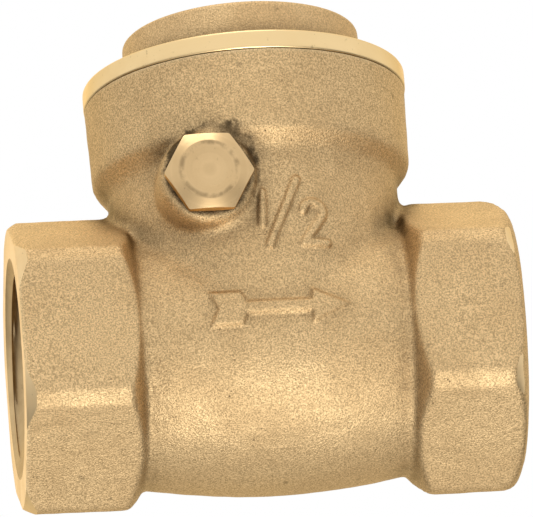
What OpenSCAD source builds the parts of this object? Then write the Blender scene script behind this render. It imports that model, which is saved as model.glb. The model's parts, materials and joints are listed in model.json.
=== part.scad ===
// Half-inch swing check valve in cast brass, with a screwed cap and a side-loaded hinge pin.
// Origin: centre of the inlet port's face. +X: direction of flow. +Z: up, towards the cap.

/* [Ends] */
// Length from the inlet face to the outlet face
body_len = 50; // [49:0.5:56]
// Width across the flats of the two hexagonal ends
hex_af = 26.84; // [26.2:0.1:30]
// Inner diameter of the half-inch pipe thread
port_d = 18.63; // [18.63:0.01:18.66]
// Depth of the pipe thread from each face
port_depth = 11; // [10:0.5:11.5]

/* [Body] */
// Diameter of the barrel at its middle
barrel_d = 27.8; // [27.4:0.1:29]
// Diameter of the barrel where it meets the hexagonal ends
barrel_end_d = 25.2; // [24.8:0.1:26]
// Diameter of the neck under the collar
neck_d = 29; // [28.6:0.1:30]
// Diameter of the lower edge of the collar that takes the cap
collar_d = 31.8; // [31.4:0.1:33]
// Diameter of the collar's top face
collar_top_d = 32.2; // [31.6:0.1:33]
// Height of the lower edge of the collar above the pipe axis
collar_z = 18.8; // [18:0.1:19]
// Height of the collar's top face above the pipe axis
collar_top = 26.9; // [26.5:0.1:28]
// Height of the cast arrow and size mark
relief = 0.4; // [0.2:0.05:0.5]

/* [Cap] */
// Diameter of the cap's machined rim
rim_d = 32.4; // [32:0.1:33.4]
// Thickness of the rim
rim_t = 1.95; // [1.5:0.05:3]
// Diameter of the cast boss on the cap
boss_d = 23.8; // [20:0.1:26]
// Height of the boss above the rim
boss_h = 4.7; // [4:0.1:6]
// Width of the square wrench socket in the boss
socket_w = 9.6; // [6:0.1:12]
// Pitch diameter of the cap's thread
cap_thread_d = 26.4; // [26.2:0.1:26.6]

/* [Hinge] */
// Distance of the hinge pin from the inlet face
pin_x = 19.4; // [19.2:0.1:19.8]
// Height of the hinge pin above the pipe axis
pin_z = 14.1; // [14:0.1:14.3]
// Diameter of the hinge pin
pin_d = 3; // [2.8:0.1:3.2]
// Width across the flats of the plug's head
plug_af = 7.8; // [7:0.1:8]
// Thickness of the plug's head
plug_head_t = 1.4; // [1.2:0.1:2.5]
// Diameter of the plug's thread
plug_d = 5.8; // [5:0.1:5.8]

/* [Disc] */
// Diameter of the opening that the disc closes
seat_d = 12.5; // [11:0.1:12.6]
// Tilt of the seat from upright, which lets the disc's weight close it
seat_tilt = 10; // [9.5:0.1:10.5]
// Diameter of the brass disc
disc_d = 16.4; // [16:0.1:16.6]
// Thickness of the soft facing
facing_t = 2; // [1.8:0.1:2.2]
// Diameter of the disc's stud
stud_d = 3.5; // [3.3:0.1:3.8]

/* [Hidden] */
$fn = 96;
eps = 0.01;

// The middle of the valve, where the cap's axis crosses the pipe's axis
mid_x = body_len / 2;

// Hexagonal ends
hex_corner_r = 15.27;
inlet_face_r = 14;
outlet_face_r = 13.5;
inlet_hex_len = 12;
outlet_hex_len = 11.2;
shoulder_len = 1.6;
shoulder_r = 12.6;

// Barrel, neck and collar
barrel_half = 13.4;
bulge = (barrel_d - barrel_end_d) / 2;
bulge_r = (barrel_half * barrel_half + bulge * bulge) / (2 * bulge);
neck_foot_z = -1;
neck_foot_d = 26.6;
neck_low_z = 6;
neck_top_z = 16.6;

// Inner passages
passage_d = 12;
throat_d = 21.6;
throat_end = body_len - 12.7;
outlet_d = 18;
well_d = 23;
well_floor = 9.2;
gasket_z = 19;
gasket_t = 1;
cap_bore_gap = 0.1;

// Seat: its face is the plane n = 0 of the seat frame
seat_x = 17.17;
seat_h = 0.8;
seat_out_d = 15.2;
seat_cut = 3;
rest_gap = 0.05;

// The pin's place in the seat frame: n along the seat's axis, t up its face
pin_n = (pin_x - seat_x) * cos(seat_tilt) + pin_z * sin(seat_tilt);
pin_t = pin_z * cos(seat_tilt) - (pin_x - seat_x) * sin(seat_tilt);

// Hinge
lug_d = 7;
lug_gap = 13.6;
eye_d = 6;
eye_w = 13;
pin_gap = 0.05;
pin_end_y = 11.7;
side_boss_y = -15.5;
side_boss_d = 9.2;
side_boss_foot_d = 13.2;
washer_t = 0.4;
plug_end_y = -11;
plug_gap = 0.08;

// Disc, from the facing's front to the back of the nut, along the seat's axis
facing_d = 14.8;
facing_back = rest_gap + facing_t;
holder_back = facing_back + 1.15;
holder_rim = 0.9;
hanger_gap = 0.25;
hanger_t = 2.5;
hanger_front = holder_back + hanger_gap;
hanger_back = hanger_front + hanger_t;
hanger_w = 7;
hanger_ring_d = 8.8;
stud_gap = 0.06;
nut_washer_gap = 0.15;
nut_washer_t = 0.7;
nut_washer_d = 7;
nut_af = 6;
nut_t = 2;
nut_front = hanger_back + nut_washer_gap + nut_washer_t;
stud_end = nut_front + nut_t + 0.4;
screw_d = 2.5;
screw_head_d = 5;
screw_head_t = 1.5;
screw_end = 7;
screw_gap = 0.04;
screw_slot = 0.7;
front_washer_d = 7;
front_washer_t = 0.7;

// Arrow and size mark, as distances from the valve's middle
arrow_z = 0.5;
arrow_tail_x = -6.3;
arrow_tip_x = 7.5;
arrow_head_len = 3.6;
arrow_tail_len = 3.1;
arrow_notch = 0.8;
arrow_half_h = 1.8;
arrow_shaft_w = 1.35;
stroke_w = 0.75;
one_x = -0.45;
one_foot_z = 8.8;
one_h = 3.6;
slash_x = 1.6;
slash_z = 10.1;
slash_len = 8.2;
slash_lean = 24;
two_x = 4.6;
two_foot_z = 6.6;
two_r = 1.35;
two_h = 4.8;

// ---- Helpers ----

// Turns a shape drawn upwards so that it points downstream, starting at x
module along_x(x = 0) {
    translate([x, 0, 0])
    rotate([0, 90, 0])
    children();
}

// Turns a shape drawn upwards so that it points out of the front, starting at y
module out_of_front(y) {
    translate([pin_x, y, pin_z])
    rotate([90, 0, 0])
    children();
}

// Puts a shape drawn upwards on the seat: its height becomes the seat's axis, n
module on_seat(n = 0) {
    translate([seat_x, 0, 0])
    rotate([0, 90 - seat_tilt, 0])
    translate([0, 0, n])
    children();
}

module ring(height, outer_d, inner_d) {
    difference() {
        cylinder(h = height, d = outer_d);
        translate([0, 0, -eps]) cylinder(h = height + 2 * eps, d = inner_d);
    }
}

// ---- Outside of the body ----

// A hexagonal end drawn upwards from its face, with its corners bevelled and its back sloped
module hex_end(len, face_r) {
    bevel = hex_corner_r - face_r;
    intersection() {
        cylinder(h = len, d = hex_af / cos(30), $fn = 6);
        rotate_extrude()
        polygon([[0, 0], [face_r, 0], [hex_corner_r, bevel], [hex_corner_r, len - shoulder_len],
            [shoulder_r, len], [0, len]]);
    }
}

// The barrel, fattest at its middle, made thicker by grow
module barrel(grow = 0) {
    along_x(mid_x)
    rotate_extrude()
    intersection() {
        translate([barrel_d / 2 - bulge_r, 0]) circle(r = bulge_r + grow, $fn = 360);
        translate([0, -barrel_half]) square([barrel_d, 2 * barrel_half]);
    }
}

// The neck and the collar on top of it, made thicker by grow
module neck(grow = 0) {
    translate([mid_x, 0, 0])
    rotate_extrude()
    polygon([[0, neck_foot_z], [neck_foot_d / 2 + grow, neck_foot_z],
        [neck_d / 2 + grow, neck_low_z], [neck_d / 2 + grow, neck_top_z],
        [collar_d / 2, collar_z], [collar_top_d / 2, collar_top], [0, collar_top]]);
}

// The round boss that the hinge pin's plug is screwed into
module side_boss() {
    foot_y = -10.5;
    out_of_front(foot_y)
    cylinder(h = foot_y - side_boss_y, d1 = side_boss_foot_d, d2 = side_boss_d);
}

module arrow_outline() {
    head_x = arrow_tip_x - arrow_head_len;
    tail_x = arrow_tail_x + arrow_tail_len;
    shaft = arrow_shaft_w / 2;
    polygon([[arrow_tip_x, 0], [head_x, arrow_half_h], [head_x, shaft], [tail_x, shaft],
        [tail_x, arrow_half_h], [arrow_tail_x, arrow_half_h],
        [arrow_tail_x + arrow_notch, 0], [arrow_tail_x, -arrow_half_h],
        [tail_x, -arrow_half_h], [tail_x, -shaft], [head_x, -shaft], [head_x, -arrow_half_h]]);
}

// A plain figure 1, a slash and a figure 2, for the half-inch size
module size_outline() {
    translate([one_x - stroke_w / 2, one_foot_z]) square([stroke_w, one_h]);
    translate([slash_x, slash_z])
    rotate(-slash_lean)
    square([stroke_w, slash_len], center = true);
    translate([two_x, two_foot_z]) figure_two();
}

module figure_two() {
    top = two_h - two_r;
    translate([-two_r, 0]) square([2 * two_r, stroke_w]);
    translate([0, top])
    difference() {
        circle(r = two_r);
        circle(r = two_r - stroke_w);
        translate([-two_r - 1, -two_r - 1]) square([2 * two_r + 2, two_r + 1]);
    }
    leg = sqrt(top * top + two_r * two_r) + stroke_w / 2;
    translate([-two_r, 0])
    rotate(-atan2(2 * two_r - stroke_w, top))
    square([stroke_w, leg]);
}

// Raised marks on the front, following the body's surface
module marks() {
    intersection() {
        translate([mid_x, -10, 0])
        rotate([90, 0, 0])
        linear_extrude(height = 6) {
            translate([0, arrow_z]) arrow_outline();
            size_outline();
        }
        union() {
            barrel(relief);
            neck(relief);
        }
    }
}

// ---- Inside of the body ----

// The space around the disc: a well under the cap and a round throat to the outlet
module chamber() {
    translate([mid_x, 0, well_floor]) cylinder(h = collar_top, d = well_d);
    intersection() {
        union() {
            along_x(seat_x - 6) cylinder(h = throat_end - seat_x + 6, d = throat_d);
            translate([mid_x, 0, 0]) cylinder(h = well_floor + 1, d = well_d);
        }
        on_seat(-seat_h)
        translate([-body_len, -body_len / 2, 0])
        cube([2 * body_len, body_len, body_len]);
    }
    along_x(throat_end - 1) cylinder(h = body_len - port_depth - throat_end + 2, d = outlet_d);
}

// The ears inside the neck that hold the hinge pin
module lugs() {
    for (side = [-1, 1])
        translate([pin_x, side * (lug_gap / 2 + well_d / 4 - 1.5), pin_z])
        rotate([90, 0, 0])
        cylinder(h = well_d / 2 - 3, d = lug_d, center = true);
}

module valve_body() {
    color("#b8975f")
    difference() {
        union() {
            difference() {
                union() {
                    along_x() hex_end(inlet_hex_len, inlet_face_r);
                    along_x(body_len)
                    mirror([0, 0, 1])
                    hex_end(outlet_hex_len, outlet_face_r);
                    barrel();
                    neck();
                    side_boss();
                    marks();
                }
                chamber();
            }
            intersection() {
                lugs();
                translate([mid_x, 0, well_floor]) cylinder(h = 9, d = well_d + 2);
            }
            on_seat(-2) cylinder(h = 2, d = seat_out_d);
        }
        along_x(-1) cylinder(h = port_depth + 1, d = port_d);
        along_x(body_len - port_depth) cylinder(h = port_depth + 1, d = port_d);
        along_x(port_depth - 1) cylinder(h = seat_x - port_depth + 1, d = passage_d);
        on_seat(-seat_cut) cylinder(h = seat_cut + 1, d = seat_d);
        translate([mid_x, 0, gasket_z]) cylinder(h = collar_top, d = cap_thread_d);
        out_of_front(pin_end_y) cylinder(h = 25, d = pin_d + 2 * pin_gap);
        out_of_front(plug_end_y) cylinder(h = 10, d = plug_d + 2 * plug_gap);
    }
}

// ---- Cap ----

module cap() {
    spigot_z = gasket_z + gasket_t;
    spigot_d = cap_thread_d - 2 * cap_bore_gap;
    rim_z = collar_top + rest_gap;
    recess_d = well_d - 0.6;
    socket_t = 3;
    color("#e3cf9a")
    translate([mid_x, 0, 0])
    difference() {
        union() {
            translate([0, 0, spigot_z]) cylinder(h = rim_z - spigot_z + eps, d = spigot_d);
            translate([0, 0, rim_z])
            rotate_extrude()
            polygon([[0, 0], [rim_d / 2, 0], [rim_d / 2, rim_t - 0.3], [rim_d / 2 - 0.3, rim_t],
                [boss_d / 2, rim_t], [boss_d / 2, rim_t + boss_h - 0.6],
                [boss_d / 2 - 0.6, rim_t + boss_h], [0, rim_t + boss_h]]);
        }
        translate([0, 0, spigot_z - 1]) cylinder(h = rim_z - spigot_z + 1.8, d = recess_d);
        translate([-socket_w / 2, -socket_w / 2, rim_z + rim_t + boss_h - socket_t])
        cube([socket_w, socket_w, socket_t + 1]);
    }
}

module cap_gasket() {
    color("#e9e6dc")
    translate([mid_x, 0, gasket_z + eps])
    ring(gasket_t - 2 * eps, cap_thread_d - 0.3, well_d + 0.4);
}

// ---- Hinge pin and its plug ----

module plug_washer() {
    color("#b5673c")
    out_of_front(side_boss_y - eps)
    ring(washer_t - 2 * eps, plug_af - 0.1, plug_d + 0.1);
}

module hinge_pin_plug() {
    head_y = side_boss_y - washer_t;
    shank = head_y - plug_end_y;
    color("#d9bd82")
    out_of_front(head_y) {
        translate([0, 0, shank + 0.1]) cylinder(h = -shank, d = plug_d);
        intersection() {
            cylinder(h = plug_head_t, d = plug_af / cos(30), $fn = 6);
            rotate_extrude()
            polygon([[0, 0], [plug_af, 0], [plug_af / 2 + 0.8, plug_head_t - 0.5],
                [plug_af / 2 - 0.7, plug_head_t], [0, plug_head_t]]);
        }
    }
}

module hinge_pin() {
    pin_start = plug_end_y + 0.15;
    pin_len = pin_end_y - 0.1 - pin_start;
    color("#9aa0a4")
    translate([pin_x, pin_start + pin_len, pin_z])
    rotate([90, 0, 0])
    rotate_extrude()
    polygon([[0, 0], [pin_d / 2 - 0.3, 0], [pin_d / 2, 0.3], [pin_d / 2, pin_len - 0.3],
        [pin_d / 2 - 0.3, pin_len], [0, pin_len]]);
}

// ---- Disc and its hanger, drawn on the seat ----

module disc_hanger() {
    color("#c9a566")
    difference() {
        union() {
            on_seat(hanger_front) cylinder(h = hanger_t, d = hanger_ring_d);
            on_seat(hanger_front)
            translate([-pin_t, -hanger_w / 2, 0])
            cube([pin_t, hanger_w, hanger_t]);
            translate([pin_x, 0, pin_z])
            rotate([90, 0, 0])
            cylinder(h = eye_w, d = eye_d, center = true);
        }
        on_seat(hanger_front - 1) cylinder(h = hanger_t + 2, d = stud_d + 2 * stud_gap);
        translate([pin_x, 0, pin_z])
        rotate([90, 0, 0])
        cylinder(h = eye_w + 2, d = pin_d + 2 * pin_gap, center = true);
    }
}

module disc_holder() {
    color("#cfae6f")
    difference() {
        union() {
            on_seat(holder_rim)
            rotate_extrude()
            polygon([[0, 0], [disc_d / 2, 0], [disc_d / 2, holder_back - holder_rim - 0.5],
                [disc_d / 2 - 0.5, holder_back - holder_rim], [0, holder_back - holder_rim]]);
            on_seat(holder_back - eps) cylinder(h = stud_end - holder_back, d = stud_d);
        }
        on_seat(holder_rim - 1) cylinder(h = facing_back - holder_rim + 1, d = facing_d + 0.1);
        on_seat(holder_rim - 1) cylinder(h = screw_end - holder_rim + 1.2, d = screw_d + 2 * screw_gap);
    }
}

module seat_disc() {
    color("#3a3a3a")
    on_seat(rest_gap)
    ring(facing_t - eps, facing_d, screw_d + 0.3);
}

module facing_washer() {
    color("#c7c9c9")
    on_seat(rest_gap - front_washer_t - eps)
    ring(front_washer_t, front_washer_d, screw_d + 0.2);
}

module facing_screw() {
    head_n = rest_gap - front_washer_t - screw_head_t - 2 * eps;
    color("#c7c9c9")
    on_seat(head_n)
    difference() {
        union() {
            cylinder(h = screw_head_t, d = screw_head_d);
            translate([0, 0, screw_head_t - eps]) cylinder(h = screw_end - head_n - screw_head_t, d = screw_d);
        }
        translate([-screw_head_d, -screw_slot / 2, -1]) cube([2 * screw_head_d, screw_slot, 1.7]);
    }
}

module hanger_washer() {
    color("#d8c48f")
    on_seat(hanger_back + nut_washer_gap)
    ring(nut_washer_t - eps, nut_washer_d, stud_d + 0.1);
}

module hanger_nut() {
    color("#d8bf85")
    on_seat(nut_front)
    difference() {
        intersection() {
            cylinder(h = nut_t, d = nut_af / cos(30), $fn = 6);
            rotate_extrude()
            polygon([[0, 0], [nut_af, 0], [nut_af / 2 + 0.7, nut_t - 0.4],
                [nut_af / 2 - 0.1, nut_t], [0, nut_t]]);
        }
        translate([0, 0, -1]) cylinder(h = nut_t + 2, d = stud_d + 0.06);
    }
}

valve_body();
cap();
cap_gasket();
hinge_pin_plug();
plug_washer();
hinge_pin();
disc_hanger();
disc_holder();
seat_disc();
facing_washer();
facing_screw();
hanger_washer();
hanger_nut();
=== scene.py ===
"""Half-inch brass swing check valve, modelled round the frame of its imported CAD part.

Every mesh is drawn in millimetres, in the frame of the CAD part: the origin is the centre of
the inlet face, +X is the direction of flow and +Z points at the cap. It is stored in metres.
"""

import json
import logging
import math
from collections.abc import Callable, Iterable, Sequence
from dataclasses import dataclass, field
from enum import Enum

import bmesh
import bpy
from mathutils import Matrix, Vector, noise


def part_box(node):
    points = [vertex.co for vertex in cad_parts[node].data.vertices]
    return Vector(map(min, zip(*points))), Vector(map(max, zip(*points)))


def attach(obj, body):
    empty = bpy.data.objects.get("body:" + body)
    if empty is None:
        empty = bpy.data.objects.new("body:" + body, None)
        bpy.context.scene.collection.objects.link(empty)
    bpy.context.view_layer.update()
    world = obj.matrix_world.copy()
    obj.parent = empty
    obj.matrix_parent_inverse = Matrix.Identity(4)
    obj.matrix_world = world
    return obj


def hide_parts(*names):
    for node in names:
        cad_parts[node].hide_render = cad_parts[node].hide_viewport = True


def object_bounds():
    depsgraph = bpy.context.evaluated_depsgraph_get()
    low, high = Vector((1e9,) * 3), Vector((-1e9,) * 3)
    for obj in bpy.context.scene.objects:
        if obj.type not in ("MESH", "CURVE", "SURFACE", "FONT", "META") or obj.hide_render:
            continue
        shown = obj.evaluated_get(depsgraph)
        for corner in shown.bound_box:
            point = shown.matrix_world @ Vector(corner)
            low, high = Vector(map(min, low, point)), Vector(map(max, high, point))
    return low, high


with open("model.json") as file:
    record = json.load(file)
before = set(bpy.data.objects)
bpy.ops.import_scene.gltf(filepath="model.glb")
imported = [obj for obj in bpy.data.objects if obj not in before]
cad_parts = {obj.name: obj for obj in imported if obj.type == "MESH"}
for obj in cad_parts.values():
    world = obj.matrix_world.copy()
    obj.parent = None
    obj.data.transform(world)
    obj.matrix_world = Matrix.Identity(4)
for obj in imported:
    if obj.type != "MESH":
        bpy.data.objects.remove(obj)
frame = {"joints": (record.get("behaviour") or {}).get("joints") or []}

MM = 0.001
TINY = 1e-6
CAD_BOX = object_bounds()

LOG = logging.getLogger("check_valve")

Point = tuple[float, float]
Outline = list[Point]
Colour = tuple[float, float, float, float]
Solid = bmesh.types.BMesh
Material = bpy.types.Material
Socket = bpy.types.NodeSocket
Value = Socket | float | tuple


# --- The frame, in millimetres ---


def joint_named(name: str) -> dict:
    """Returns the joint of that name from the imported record."""
    return next(joint for joint in frame["joints"] if joint["name"] == name)


def joint_point(name: str) -> Vector:
    """Returns the point that a hinge turns about, in millimetres."""
    return Vector(joint_named(name)["pos_m"]) / MM


@dataclass(frozen=True)
class Layout:
    """The places that the pieces share, read from the frame.

    Args:
        length: Distance from the inlet face to the outlet face.
        pin: A point on the axis of the hinge pin.
        seat: The centre of the seat's face.
        seat_axis: The direction in which the seat's face looks.
    """

    length: float
    pin: Vector
    seat: Vector
    seat_axis: Vector

    @classmethod
    def from_frame(cls) -> "Layout":
        """Reads the layout from the CAD boxes and the joints.

        Returns:
            The layout.
        """
        return cls(
            length=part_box("valve_body")[1].x / MM,
            pin=joint_point("disc_swing"),
            seat=joint_point("disc_spin"),
            seat_axis=Vector(joint_named("disc_spin")["axis"]),
        )

    @property
    def middle(self) -> float:
        """The place along the pipe where the cap's axis crosses it."""
        return self.length / 2

    def upright(self, height: float = 0.0) -> Matrix:
        """Returns the placement of a shape drawn about the cap's axis, at a height."""
        return Matrix.Translation((self.middle, 0.0, height))

    def along_pipe(self) -> Matrix:
        """Returns the placement that turns a shape drawn about Z to lie along the pipe."""
        return Matrix.Rotation(math.radians(90.0), 4, "Y")

    def against_flow(self) -> Matrix:
        """Returns the placement for a shape drawn inwards from the outlet face."""
        turn = Matrix.Rotation(math.radians(-90.0), 4, "Y")
        return Matrix.Translation((self.length, 0.0, 0.0)) @ turn

    def on_pin(self, y: float = 0.0) -> Matrix:
        """Returns the placement on the pin's axis that points a shape out of the front from y."""
        turn = Matrix.Rotation(math.radians(90.0), 4, "X")
        return Matrix.Translation((self.pin.x, y, self.pin.z)) @ turn

    def on_seat(self, height: float = 0.0) -> Matrix:
        """Returns the placement of a shape drawn about Z on the seat's face.

        Args:
            height: Distance of the shape's base from the seat's face.

        Returns:
            The placement.
        """
        turn = Matrix.Rotation(math.atan2(self.seat_axis.x, self.seat_axis.z), 4, "Y")
        return Matrix.Translation(self.seat) @ turn @ Matrix.Translation((0.0, 0.0, height))

    def pin_above_seat(self) -> float:
        """Returns how far up the seat's face the pin lies."""
        up = Vector((-self.seat_axis.z, 0.0, self.seat_axis.x))
        return (Vector((self.pin.x, 0.0, self.pin.z)) - self.seat).dot(up)


# --- Mesh kit ---


class Operation(Enum):
    """How a tool changes a workpiece."""

    ADD = "UNION"
    CUT = "DIFFERENCE"
    KEEP = "INTERSECT"


def smooth(bm: Solid, verts: Iterable[bmesh.types.BMVert], times: int, factor: float = 0.5) -> None:
    """Moves vertices towards the middle of their neighbours.

    Args:
        bm: The mesh.
        verts: The vertices that move.
        times: Number of passes.
        factor: Share of the way that each pass goes.
    """
    for _ in range(times):
        bmesh.ops.smooth_vert(
            bm, verts=verts, factor=factor, use_axis_x=True, use_axis_y=True, use_axis_z=True
        )


def ease_edges(bm: Solid, edges: list[bmesh.types.BMEdge], offset: float, segments: int) -> None:
    """Bevels edges, by a distance from each, in a number of segments."""
    bmesh.ops.bevel(
        bm, geom=edges, offset=offset, segments=segments, profile=0.5, affect="EDGES", material=-1
    )


def soften(outline: Outline, radius: float, steps: int = 3) -> Outline:
    """Rounds the corners of a lathe outline that are off its axis.

    Args:
        outline: Closed outline as (radius, height) points.
        radius: Rounding radius, which short sides reduce.
        steps: Number of straight steps in each rounding.

    Returns:
        The outline with its corners rounded.
    """
    nearly_straight = math.radians(170.0)
    share_of_side = 0.45
    rounded: Outline = []
    for i, here in enumerate(outline):
        corner = Vector(here)
        back = Vector(outline[i - 1]) - corner
        ahead = Vector(outline[(i + 1) % len(outline)]) - corner
        if here[0] < TINY or min(back.length, ahead.length) < TINY or back.angle(ahead) > nearly_straight:
            rounded.append(here)
            continue
        wanted = radius / math.tan(back.angle(ahead) / 2)
        reach = min(wanted, share_of_side * back.length, share_of_side * ahead.length)
        start, end = corner + back.normalized() * reach, corner + ahead.normalized() * reach
        for step in range(steps + 1):
            t = step / steps
            spot = start * (1 - t) ** 2 + corner * 2 * t * (1 - t) + end * t**2
            rounded.append((spot.x, spot.y))
    return rounded


def lathe(outline: Outline, segments: int = 128) -> Solid:
    """Spins a closed outline about Z.

    Args:
        outline: Closed outline as (radius, height) points; sides on the axis are left out.
        segments: Number of steps round the axis.

    Returns:
        A closed mesh with its faces pointing outwards.
    """
    bm = bmesh.new()
    corners = [bm.verts.new((r, 0.0, z)) for r, z in outline]
    sides = []
    for i, corner in enumerate(corners):
        following = corners[(i + 1) % len(corners)]
        if max(corner.co.x, following.co.x) > TINY:
            sides.append(bm.edges.new((corner, following)))
    bmesh.ops.spin(
        bm,
        geom=corners + sides,
        cent=(0.0, 0.0, 0.0),
        axis=(0.0, 0.0, 1.0),
        angle=math.tau,
        steps=segments,
        use_merge=True,
    )
    bmesh.ops.remove_doubles(bm, verts=bm.verts, dist=1e-5)
    bmesh.ops.recalc_face_normals(bm, faces=bm.faces)
    return bm


def rod(radius: float, low: float, high: float, segments: int = 128) -> Solid:
    """Returns a plain round bar about Z."""
    return lathe([(0.0, low), (radius, low), (radius, high), (0.0, high)], segments)


@dataclass(frozen=True)
class Thread:
    """A single-start right-hand screw thread about Z.

    Args:
        major: Outer radius.
        minor: Radius at the root.
        pitch: Distance between turns.
        flat: How much the crest and the root are cut short.
        rows: Number of rows of faces in each turn.
    """

    major: float
    minor: float
    pitch: float
    flat: float = 0.125
    rows: int = 9

    def radius(self, angle: float, height: float) -> float:
        """Finds the thread's surface.

        Args:
            angle: Angle round Z.
            height: Height along Z.

        Returns:
            The radius there.
        """
        phase = (height / self.pitch - angle / math.tau) % 1.0
        rise = (1 + 2 * self.flat) * (1 - abs(2 * phase - 1)) - self.flat
        return self.minor + (self.major - self.minor) * min(1.0, max(0.0, rise))

    def grown(self, amount: float) -> "Thread":
        """Returns the same thread with every radius larger by an amount."""
        return Thread(self.major + amount, self.minor + amount, self.pitch)

    def bar(self, low: float, high: float, fade: float = 0.0, segments: int = 96) -> Solid:
        """Builds a solid bar with this thread on it.

        Args:
            low: Height of the lower end.
            high: Height of the upper end.
            fade: Length over which the thread dies out at both ends.
            segments: Number of steps round the axis.

        Returns:
            A closed mesh.
        """
        rows = max(2, round((high - low) / self.pitch * self.rows))
        heights = [low + (high - low) * i / rows for i in range(rows + 1)]
        bm = lathe([(0.0, low), *((self.minor, z) for z in heights), (0.0, high)], segments)
        for vert in (v for v in bm.verts if v.co.xy.length > 1e-4):
            radius = self.radius(math.atan2(vert.co.y, vert.co.x), vert.co.z)
            if fade:
                share = min(1.0, (vert.co.z - low) / fade, (high - vert.co.z) / fade)
                radius = self.minor + (radius - self.minor) * max(0.0, share)
            vert.co.xy = vert.co.xy.normalized() * radius
        return bm


def hexagon_bar(
    across_flats: float, low: float, high: float, rounding: float = 0.0, steps: int = 4, flat: float = 0.0
) -> Solid:
    """Builds a hexagonal bar about Z with two of its corners on the X axis.

    Args:
        across_flats: Width across the flats.
        low: Height of the lower end.
        high: Height of the upper end.
        rounding: Radius of the long edges.
        steps: Number of faces in each rounding.
        flat: Width of a flat bevel on the four edges off the X axis, in place of their rounding.

    Returns:
        A closed mesh.
    """
    half_turn = math.radians(30.0)
    bm = bmesh.new()
    bmesh.ops.create_circle(bm, cap_ends=True, segments=6, radius=across_flats / 2 / math.cos(half_turn))
    first = min(bm.verts, key=lambda v: abs(math.atan2(v.co.y, v.co.x)))
    turn = Matrix.Rotation(-math.atan2(first.co.y, first.co.x), 3, "Z")
    bmesh.ops.rotate(bm, verts=bm.verts, cent=(0, 0, 0), matrix=turn)
    bmesh.ops.translate(bm, verts=bm.verts, vec=(0, 0, low))
    raised = bmesh.ops.extrude_face_region(bm, geom=bm.faces[:])["geom"]
    top = [g for g in raised if isinstance(g, bmesh.types.BMVert)]
    bmesh.ops.translate(bm, verts=top, vec=(0, 0, high - low))
    uprights = [e for e in bm.edges if abs(e.verts[0].co.z - e.verts[1].co.z) > 1e-4]
    sides = [e for e in uprights if flat and abs(e.verts[0].co.y) > 1e-3]
    rounds = [e for e in uprights if e not in sides]
    if sides:
        ease_edges(bm, sides, flat / 2 / math.cos(half_turn), 1)
    if rounding:
        ease_edges(bm, rounds, rounding * math.tan(half_turn), steps)
    bmesh.ops.recalc_face_normals(bm, faces=bm.faces)
    return bm


def slab(size: Sequence[float], centre: Sequence[float]) -> Solid:
    """Builds a plain block, to cut or to bevel.

    Args:
        size: Its three widths.
        centre: The place of its centre.

    Returns:
        A closed mesh.
    """
    bm = bmesh.new()
    bmesh.ops.create_cube(bm, size=1.0)
    bmesh.ops.scale(bm, vec=size, verts=bm.verts)
    bmesh.ops.translate(bm, vec=centre, verts=bm.verts)
    return bm


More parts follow.
